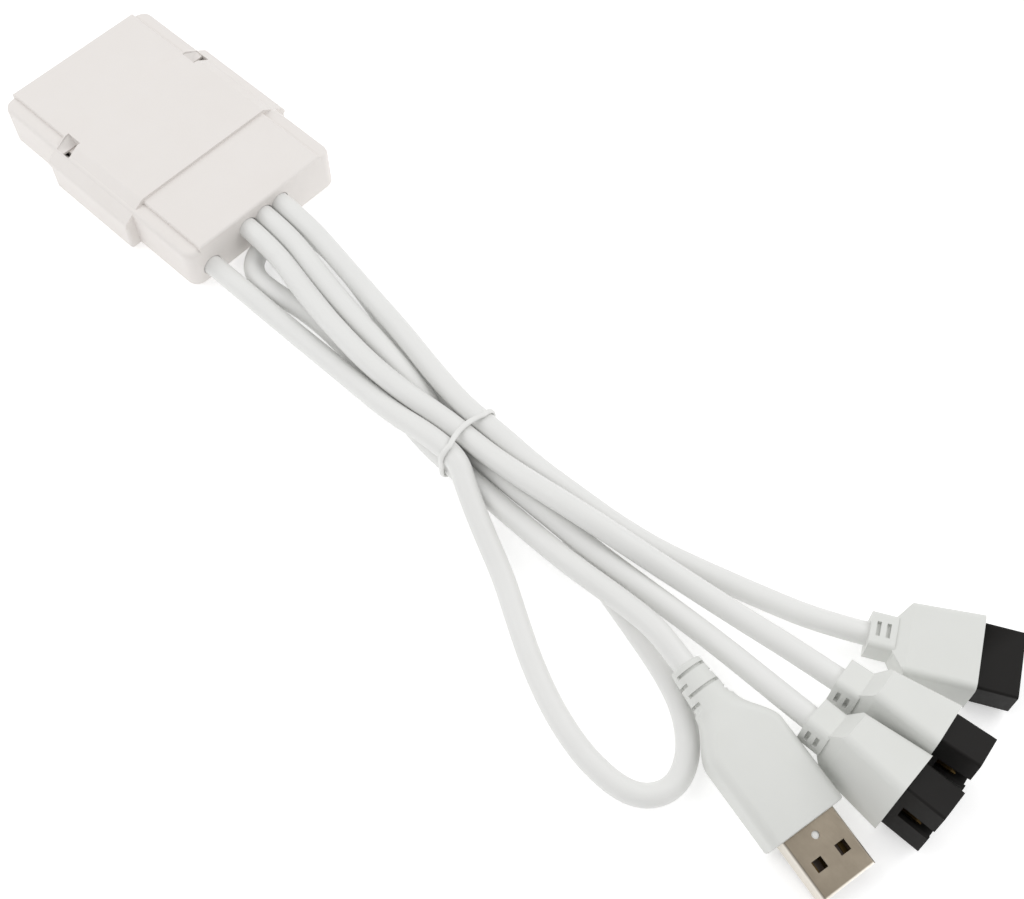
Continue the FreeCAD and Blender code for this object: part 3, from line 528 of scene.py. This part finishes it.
pin_pieces = {}
for name in PLUG_NAMES:
    mesh = block_rows.mesh("gold_pins_" + name, PIN_SIZES)
    seat = TURNED.get(name, Matrix()) @ Matrix.Translation((PIN_START, 0, 0))
    mesh.transform(plug_matrix(name) @ seat @ ALONG_PLUG)
    pin_pieces[name] = put("gold_pins_" + name, mesh, "header_pins_" + name)

# %% [markdown]
# The contacts lie flat on the plug's tongue, so their blocks stay upright and are only moved.

# %% USB contacts
CONTACT_START, CONTACT_LENGTH, CONTACT_Z = 39.3, 6.4, -0.02
CONTACT_SIZES = {"Pitch Across": 1.0, "Pitch Along": 2.25, "Block Across": CONTACT_LENGTH,
                 "Block Along": 1.0, "Block Height": 0.2, "Taper": 0.08, "Shrink": 0.94,
                 "Count Across": 1, "Count Along": 4, "Blank From": 4}
usb_place = plug_matrix("usb")
contact_mesh = block_rows.mesh("gold_contacts", CONTACT_SIZES)
contact_middle = (CONTACT_START + CONTACT_LENGTH / 2, 0, CONTACT_Z)
contact_mesh.transform(usb_place @ Matrix.Translation(contact_middle))
contacts = put("gold_contacts", contact_mesh, "usb_contacts")

# %% [markdown]
# ## Small mouldings
# Some pieces show forms that the plain solids leave out. One helper gives a finished mesh soft
# shading with sharp creases. Another one cuts with Blender's Boolean modifier, which is the safest
# way to sink slots and holes into a closed body. Bodies are made from rings of points, with each
# ring joined to the next.


# %% Helpers for mouldings
def shaded(mesh, finish, crease=35.0):
    """Soft shading, with creases where faces turn by more than an angle, and one finish."""
    for face in mesh.polygons:
        face.use_smooth = True
    mesh.set_sharp_from_angle(angle=math.radians(crease))
    mesh.materials.clear()
    mesh.materials.append(finish)
    return mesh


def mesh_of(bm, name):
    bmesh.ops.recalc_face_normals(bm, faces=bm.faces)
    made = bpy.data.meshes.new(name)
    bm.to_mesh(made)
    bm.free()
    return made


def merged_copy(node, matrix, gap):
    """A moved copy of a CAD node's mesh, with its doubles merged."""
    made = nodes[node].data.copy()
    made.transform(matrix)
    bm = bmesh.new()
    bm.from_mesh(made)
    bmesh.ops.remove_doubles(bm, verts=bm.verts, dist=gap)
    bm.to_mesh(made)
    bm.free()
    return made


def carved(body, tool):
    """The first mesh with the second one cut out of it."""
    things = [bpy.data.objects.new("carving", mesh) for mesh in (body, tool)]
    for thing in things:
        scene.collection.objects.link(thing)
    cut = things[0].modifiers.new("cut", "BOOLEAN")
    cut.operation = "DIFFERENCE"
    cut.solver = "EXACT"
    cut.object = things[1]
    graph = bpy.context.evaluated_depsgraph_get()
    made = bpy.data.meshes.new_from_object(things[0].evaluated_get(graph))
    for thing in things:
        bpy.data.objects.remove(thing)
    return made


print("moulding helpers ready")


# %% Helpers for blocks and rings
def add_block(bm, low, high):
    """A closed block between two corners."""
    made = bmesh.ops.create_cube(bm, size=1.0)["verts"]
    for vert in made:
        vert.co = [low[i] + (vert.co[i] + 0.5) * (high[i] - low[i]) for i in range(3)]


def bridge(bm, near, far):
    """A band of faces between two rings of points."""
    for i in range(len(near)):
        bm.faces.new((near[i - 1], near[i], far[i], far[i - 1]))


def add_tube(bm, rings):
    """A closed body through rings, with a face on each end."""
    for near, far in zip(rings, rings[1:]):
        bridge(bm, near, far)
    bm.faces.new(rings[0])
    bm.faces.new(rings[-1])


def quarter_turns(count):
    """The four corners of a rounded rectangle, each as a quarter turn in some steps."""
    for number, (side, up) in enumerate(((1, 1), (-1, 1), (-1, -1), (1, -1))):
        for step in range(count):
            angle = math.pi / 2 * (number + step / (count - 1))
            yield side, up, math.cos(angle), math.sin(angle)


print("ring helpers ready")

# %% [markdown]
# The top plug's sleeve is the CAD solid itself, turned over about the plug's own axis. A CAD mesh
# is loose triangles, so the copy has its doubles merged before it is shaded.

# %% Turn the top sleeve over
MERGE_METRES = 1e-6
top_place = plug_matrix("top")
sleeve_mesh = merged_copy(
    "header_shroud_top", top_place @ TURNED["top"] @ top_place.inverted(), MERGE_METRES)
sleeve_top = put("black_sleeve_top", shaded(sleeve_mesh, sleeve_black),
                 "header_shroud_top")

# %% [markdown]
# ## The USB plug's grip
# Soft vinyl is moulded over the cable's end and the back of the metal shell. Behind, it is a cone
# with narrow slots, long ones over the top and short ones at the flanks in turn, so that it bends
# with the cable. In front it swells into a flat grip. The body is lofted: a rounded rectangle is
# drawn at each station along the plug, and every ring is joined to the next.

# %% Stations along the grip
RELIEF_LENGTH, RELIEF_REAR, RELIEF_FRONT = 8.6, 6.3, 7.8
REAR_LIP_LENGTH, REAR_LIP = 0.3, 0.5
SHOULDER_WIDE, SHOULDER_STEP, FLARE_END, FLARE_STEPS = 8.8, 0.5, 18.2, 14
GRIP_LENGTH, GRIP_WIDE, GRIP_THICK, GRIP_ROUND = 35.7, 16.6, 8.4, 2.0
FRONT_EDGE = ((0.5, 0.0), (0.15, 0.3), (0.0, 1.0))


def relief_d(x):
    """Diameter of the cone behind the grip."""
    return RELIEF_REAR + (RELIEF_FRONT - RELIEF_REAR) * x / RELIEF_LENGTH


lip = RELIEF_REAR - REAR_LIP
stations = [(0.0, lip, lip, RELIEF_REAR)]
stations += [(x, relief_d(x), relief_d(x), RELIEF_FRONT) for x in (REAR_LIP_LENGTH, RELIEF_LENGTH)]
flare_start = RELIEF_LENGTH + SHOULDER_STEP
for step in range(FLARE_STEPS + 1):
    part = step / FLARE_STEPS
    ease = part * part * (3 - 2 * part)
    stations.append((flare_start + part * (FLARE_END - RELIEF_LENGTH - SHOULDER_STEP),
                     SHOULDER_WIDE + ease * (GRIP_WIDE - SHOULDER_WIDE),
                     RELIEF_FRONT + min(1.0, part * 2) * (GRIP_THICK - RELIEF_FRONT),
                     RELIEF_FRONT / 2 - ease * (RELIEF_FRONT / 2 - GRIP_ROUND)))
stations += [(GRIP_LENGTH - back, GRIP_WIDE - less, GRIP_THICK - less, GRIP_ROUND)
             for back, less in FRONT_EDGE]
print("grip stations:", len(stations))

# %% Loft the grip and cut its slots
CORNER_STEPS, ROUNDEST = 18, 0.49
SLOT_ROWS, SLOT_WIDE, SLOT_DEEP, OVERCUT = (1.5, 3.5, 5.5, 7.5), 0.65, 0.7, 1.0
LONG_SLOT, SHORT_SLOT, SLOT_STEPS = 70.0, 42.0, 24
SEAT_DEEP, SHELL_WIDE, SHELL_THICK = 5.0, 12.0, 4.5


def rounded_ring(wide, thick, corner):
    """Points round a rounded rectangle, always counted from the same corner."""
    corner = min(corner, ROUNDEST * min(wide, thick))
    half_y, half_z = wide / 2 - corner, thick / 2 - corner
    return [(side * half_y + corner * out_y, up * half_z + corner * out_z)
            for side, up, out_y, out_z in quarter_turns(CORNER_STEPS)]


def add_arc(bm, x, radius, middle, half):
    """A closed piece of a ring round the cone, middle and half turn in degrees."""
    floor, reach = radius - SLOT_DEEP, radius + OVERCUT
    rear, front = x - SLOT_WIDE / 2, x + SLOT_WIDE / 2
    corners = ((rear, floor), (front, floor), (front, reach), (rear, reach))
    frames = []
    for step in range(SLOT_STEPS + 1):
        angle = math.radians(middle + half * (2 * step / SLOT_STEPS - 1))
        frames.append([bm.verts.new((place, far * math.cos(angle), far * math.sin(angle)))
                       for place, far in corners])
    add_tube(bm, frames)


bm = bmesh.new()
add_tube(bm, [[bm.verts.new((x, y, z)) for y, z in rounded_ring(*section)]
              for x, *section in stations])
grip_body = mesh_of(bm, "vinyl_grip")
bm = bmesh.new()
for number, x in enumerate(SLOT_ROWS):
    short = number % 2
    for middle in ((0.0, 180.0) if short else (90.0, 270.0)):
        add_arc(bm, x, relief_d(x) / 2, middle, SHORT_SLOT if short else LONG_SLOT)
add_block(bm, (GRIP_LENGTH - SEAT_DEEP, -SHELL_WIDE / 2, -SHELL_THICK / 2),
          (GRIP_LENGTH + OVERCUT, SHELL_WIDE / 2, SHELL_THICK / 2))
grip_mesh = carved(grip_body, mesh_of(bm, "grip_slots"))
grip_mesh.transform(usb_place)
grip = put("vinyl_grip", shaded(grip_mesh, plug_white), "usb_grip")

# %% [markdown]
# ## The shell's round hole
# In front of the grip the metal has one small round hole. The shell is a merged copy of the CAD
# solid with that hole bored wider. It is flat sheet, so it is creased at almost every edge.

# %% Bore the shell
HOLE_X, HOLE_D, HOLE_SIDES, BORE_DEEP = 37.9, 1.5, 32, 2.0
FLAT_CREASE, MERGE_MM = 5.0, 1e-4
shell_copy = merged_copy("usb_shell", usb_place.inverted(), MERGE_MM)
bm = bmesh.new()
bmesh.ops.create_cone(bm, cap_ends=True, segments=HOLE_SIDES, depth=BORE_DEEP,
                      radius1=HOLE_D / 2, radius2=HOLE_D / 2,
                      matrix=Matrix.Translation((HOLE_X, 0, SHELL_THICK / 2)))
shell_mesh = carved(shell_copy, mesh_of(bm, "round_hole"))
shell_mesh.transform(usb_place)
shell = put("nickel_shell", shaded(shell_mesh, shell_metal, FLAT_CREASE),
            "usb_shell")

# %% [markdown]
# ## The insulator
# The white block under the round hole and the tongue under the latch holes, which is painted dark
# as shade, are one stepped profile, drawn from the side and pulled out to its width. Two blocks
# would look the same, but they would leave a hidden wall where they meet.

# %% Shape the insulator
INSULATOR_WIDE, INSULATOR_HIGH = 11.34, 3.84
TONGUE_TOP, TONGUE_END, BLOCK_END = -0.02, 47.3, 39.2
rear, top = GRIP_LENGTH - SEAT_DEEP, INSULATOR_HIGH / 2
profile = [(rear, -top), (TONGUE_END, -top), (TONGUE_END, TONGUE_TOP), (BLOCK_END, TONGUE_TOP),
           (BLOCK_END, top), (rear, top)]
bm = bmesh.new()
add_tube(bm, [[bm.verts.new((x, side * INSULATOR_WIDE / 2, z)) for x, z in profile]
              for side in (-1, 1)])
tongue_mesh = mesh_of(bm, "plug_tongue")
tongue_mesh.transform(usb_place)
tongue = put("plug_tongue", shaded(tongue_mesh, tongue_finish), "usb_insulator")

# %% [markdown]
# ## The tie
# A thin plastic strand is drawn tight round two rows of three cables. Its path is two runs and two
# half turns, and a flattened round section is carried along it. The upper run leans a little
# towards the case, as a strand does that was pulled tight by hand.

# %% Sweep the tie
TIE_X, TIE_Y, TIE_Z = 107.3, -11.1, 5.7
CABLE_PITCH, STRAND_OUT, STRAND_WIDE, STRAND_THICK = 4.9, 2.85, 1.25, 0.7
TIE_STEPS, RUN_STEPS, STRAND_SIDES, STRAND_LEAN = 24, 16, 16, 1.1
ROUND_CREASE = 60.0
path = [(side * CABLE_PITCH, up * CABLE_PITCH / 2, out_y, out_z)
        for side, up, out_y, out_z in quarter_turns(TIE_STEPS)]
path[TIE_STEPS:TIE_STEPS] = [
    (CABLE_PITCH * (1 - 2 * step / RUN_STEPS), CABLE_PITCH / 2, 0.0, 1.0)
    for step in range(1, RUN_STEPS)]
bm = bmesh.new()
loops = []
for y, z, out_y, out_z in path:
    loop = []
    middle = TIE_X - STRAND_LEAN * (1 - (y / CABLE_PITCH) ** 2)
    for number in range(STRAND_SIDES):
        angle = 2 * math.pi * number / STRAND_SIDES
        reach = STRAND_OUT + STRAND_THICK / 2 * math.cos(angle)
        loop.append(bm.verts.new((middle + STRAND_WIDE / 2 * math.sin(angle),
                                  TIE_Y + y + reach * out_y, TIE_Z + z + reach * out_z)))
    loops.append(loop)
for number, far in enumerate(loops):
    bridge(bm, loops[number - 1], far)
tie_mesh = mesh_of(bm, "tie_strand")
tie_mesh.transform(TO_METRES)
tie = put("tie_strand", shaded(tie_mesh, tie_white, ROUND_CREASE), "bundle_tie")

# %% [markdown]
# ## The latch tabs
# In each window of the case a broad tab stands on the latch's hook. Its ramp sinks towards the
# cables and leaves the window's front half open, so that the window is deepest and darkest there.
# A block with three of its corners lowered is enough for a ramp, and needs no cut.

# %% Seat the latch tabs
TAB_REAR, TAB_FRONT, TAB_IN, TAB_OUT = -13.18, -11.3, 17.02, 20.98
TAB_FOOT, TAB_TIP, TAB_TOP_IN, TAB_TOP_OUT = 9.75, 10.3, 12.4, 10.6
NEAR = 0.1
for name, side in (("left", -1), ("right", 1)):
    bm = bmesh.new()
    low_y, high_y = sorted((side * TAB_IN, side * TAB_OUT))
    add_block(bm, (TAB_REAR, low_y, TAB_FOOT), (TAB_FRONT, high_y, TAB_TOP_IN))
    for vert in bm.verts:
        if vert.co.z < TAB_FOOT + NEAR:
            continue
        if vert.co.x > TAB_REAR + NEAR:
            vert.co.z = TAB_TIP
        elif abs(vert.co.y) > TAB_OUT - NEAR:
            vert.co.z = TAB_TOP_OUT
    bmesh.ops.triangulate(bm, faces=bm.faces[:], quad_method="SHORT_EDGE")
    tab_mesh = mesh_of(bm, "latch_tab_" + name)
    tab_mesh.transform(TO_METRES)
    put("latch_tab_" + name, shaded(tab_mesh, case_white, ROUND_CREASE))

# %% [markdown]
# ## The cables
# A cable is a length of something springy, so its line has no corners. Each one here is a NURBS
# curve whose control points are the corners of the CAD route, some of them moved a little to follow
# the photograph, with a round bevel for the jacket. The curve passes inside each corner, just as a
# real cable rounds it.

# %% Routes in millimetres
TIE_IN, TIE_OUT = 101.8, 112.8
LEFT, MIDDLE, RIGHT = -16.0, -11.1, -6.2
LOW, HIGH, FLOOR = 3.25, 8.15, 2.4
CABLE_D = 4.7
EXIT_X = 27.0
ROUTES = {
    "header_cable_top": [
        (EXIT_X, 4.9, 7.4), (41, 4.9, 7.4), (55, 2.4, 7.8), (68, 0.0, 8.1), (80, -2.0, 8.2),
        (91, -4.4, 8.2), (TIE_IN, RIGHT, HIGH), (TIE_OUT, RIGHT, HIGH), (122, -6.5, 7.7),
        (132, -5.6, 6.8), (142, -4.4, 5.3), (152, -2.2, 3.7), (163, 1.2, 3.0), (174, 4.0, 3.9),
        (184.48, 6.71, 5.35), (192.5, 10.8, 5.35)],
    "header_cable_middle": [
        (EXIT_X, -4.9, 7.4), (41, -4.9, 7.4), (55, -8.6, 7.9), (68, -10.9, 8.3),
        (80, -12.4, 8.6), (91, -12.4, 8.8), (TIE_IN, MIDDLE, HIGH), (TIE_OUT, MIDDLE, HIGH),
        (122, -11.2, 10.2), (132, -10.6, 11.8), (142, -9.3, 11.6), (152, -7.4, 9.7),
        (163, -5.2, 7.5), (174, -3.8, 7.3), (185.54, -2.99, 8.98), (194.5, -2.1, 8.98)],
    "header_cable_lower": [
        (EXIT_X, 0.0, 7.4), (41, 0.0, 7.4), (55, -3.4, 7.9), (68, -5.8, 7.7), (79, -6.9, 6.7),
        (90, -8.4, 5.6), (96, -9.9, 3.9), (TIE_IN, MIDDLE, LOW), (TIE_OUT, MIDDLE, LOW),
        (122, -11.7, 4.8), (132, -12.4, 6.9), (142, -12.7, 7.4), (153, -11.9, 6.6),
        (164, -10.8, 5.6), (175, -10.7, 6.4), (186.3, -11.69, 8.98), (195.3, -11.6, 8.98)],
    "usb_cable": [
        (EXIT_X, -16.0, 4.2), (41, -16.0, 4.2), (55, -15.6, 2.9), (68, -15.7, 3.4),
        (80, -16.3, 5.1), (91, -16.9, 6.8), (TIE_IN, LEFT, HIGH), (109.6, -16.1, 8.1),
        (114.8, -19.2, 6.5), (123.6, -23.3, 4.2), (132.2, -27.0, 2.6), (140.7, -32.0, FLOOR),
        (149.3, -36.9, FLOOR), (159.4, -41.3, FLOOR), (170.1, -43.9, FLOOR),
        (180.1, -43.3, FLOOR), (184.7, -37.6, FLOOR), (182.9, -30.4, FLOOR),
        (176.5, -24.2, FLOOR), (168.4, -20.6, FLOOR), (158, -17.6, FLOOR), (147, -14.6, FLOOR),
        (136, -10.9, FLOOR), (124, -6.8, FLOOR), (TIE_OUT, RIGHT, LOW), (TIE_IN, RIGHT, LOW),
        (91, -3.8, 2.6), (81, -1.8, FLOOR), (71, 0.4, FLOOR), (60, 3.2, FLOOR), (50, 5.3, FLOOR),
        (41.4, 5.6, FLOOR), (36.7, 0.9, FLOOR), (36.4, -6.0, FLOOR), (40.4, -11.1, FLOOR),
        (48, -11.2, FLOOR), (57, -9.6, FLOOR), (68, -10.0, FLOOR), (80, -11.9, FLOOR),
        (91, -13.9, FLOOR), (TIE_IN, LEFT, LOW), (TIE_OUT, LEFT, LOW), (123, -16.4, 3.6),
        (133, -17.4, 6.1), (142, -17.8, 7.4), (153, -17.2, 8.0), (161, -17.4, 9.3),
        (165.88, -18.16, 9.66), (171.7, -19.4, 8.9)],
}
print("route points:", sum(len(route) for route in ROUTES.values()))

# %% [markdown]
# Each route becomes a round jacket in place of its CAD cable. The point where it leaves the case
# and the pieces at its far end are worked out as well, but nothing here uses them.

# %% Lay the cables
CASE_FRONT = 0.03325
STEPS_ALONG, STEPS_ROUND, CURVE_ORDER = 8, 6, 3


def cable_curve(name, route):
    """A round cable on one NURBS spline, closed at both ends."""
    data = bpy.data.curves.new(name + "_jacket", "CURVE")
    data.dimensions = "3D"
    data.resolution_u = STEPS_ALONG
    data.bevel_depth = CABLE_D / 2 / PER_METRE
    data.bevel_resolution = STEPS_ROUND
    data.use_fill_caps = True
    spline = data.splines.new("NURBS")
    spline.points.add(len(route) - 1)
    for point, spot in zip(spline.points, route):
        point.co = [place / PER_METRE for place in spot] + [1.0]
    spline.order_u = CURVE_ORDER
    spline.use_endpoint_u = True
    spline.use_smooth = True
    data.materials.append(jacket_white)
    made = bpy.data.objects.new(name + "_jacket", data)
    scene.collection.objects.link(made)
    return made


for name, route in ROUTES.items():
    jacket = cable_curve(name, route)
    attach(jacket, "root")
    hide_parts(name)
    exit_point = (CASE_FRONT, route[0][1] / PER_METRE, route[0][2] / PER_METRE)
    if name == "usb_cable":
        ends = [grip, shell, tongue, tie, contacts]
    else:
        which = name.split("_")[-1]
        sleeve = sleeve_top if which == "top" else nodes["header_shroud_" + which]
        ends = [nodes["header_boot_" + which], sleeve, pin_pieces[which]]
print("cables:", len(ROUTES))

# %% [markdown]
# ## The floor
# The hub lies on a plain pale floor. The floor glows a little, as a lit table does, which keeps it
# white and fills the shadows from below. The camera looks down, so a flat plane does as well as a
# curved backdrop. It is only a stage, so it isn't part of the object.

# %% Stage the floor
FLOOR_HALF, FLOOR_GLOW = 2, 0.42
PAPER, PAPER_LIGHT = (0.80, 0.80, 0.80, 1.0), (0.82, 0.82, 0.82, 1.0)
WHITE = (1.0, 1.0, 1.0, 1.0)
floor_mesh = bpy.data.meshes.new("pale_floor")
floor_mesh.from_pydata([(x * FLOOR_HALF, y * FLOOR_HALF, 0)
                        for x, y in ((-1, -1), (1, -1), (1, 1), (-1, 1))], [], [(0, 1, 2, 3)])
floor = bpy.data.objects.new("pale_floor", floor_mesh)
scene.collection.objects.link(floor)
paper = Finish("pale_paper")
fibre = paper.noise(700.0)
floor_mesh.materials.append(paper.surface(
    Base_Color=paper.mix(fibre, PAPER, PAPER_LIGHT),
    Roughness=0.9,
    Emission_Color=WHITE,
    Emission_Strength=FLOOR_GLOW,
))
print("floor ready")

# %% [markdown]
# ## The light
# The light is that of a soft studio: a wide panel above, a weaker one from the side, and a white
# sky. Wide lamps blur the edge of a shadow, and the sky alone would leave no shadow at all.

# %% Hang the lights
AIM = (0.1, -0.01, 0.0)
PANEL_WIDE, KEY_POWER, FILL_POWER, SKY_STRENGTH = 0.8, 3.2, 2.2, 0.62


def light_panel(name, spot, power):
    data = bpy.data.lights.new(name, "AREA")
    data.shape = "DISK"
    data.size = PANEL_WIDE
    data.energy = power
    lamp = bpy.data.objects.new(name, data)
    lamp.location = spot
    lamp.rotation_euler = (Vector(AIM) - Vector(spot)).to_track_quat("-Z", "Y").to_euler()
    scene.collection.objects.link(lamp)


light_panel("key_panel", (0.35, 0.55, 0.75), KEY_POWER)
light_panel("fill_panel", (-0.4, -0.35, 0.6), FILL_POWER)
world = bpy.data.worlds.new("white_sky")
world.use_nodes = True
sky = world.node_tree.nodes["Background"].inputs
sky["Color"].default_value = WHITE
sky["Strength"].default_value = SKY_STRENGTH
scene.world = world
scene.view_settings.view_transform = "Standard"
print("lights ready")
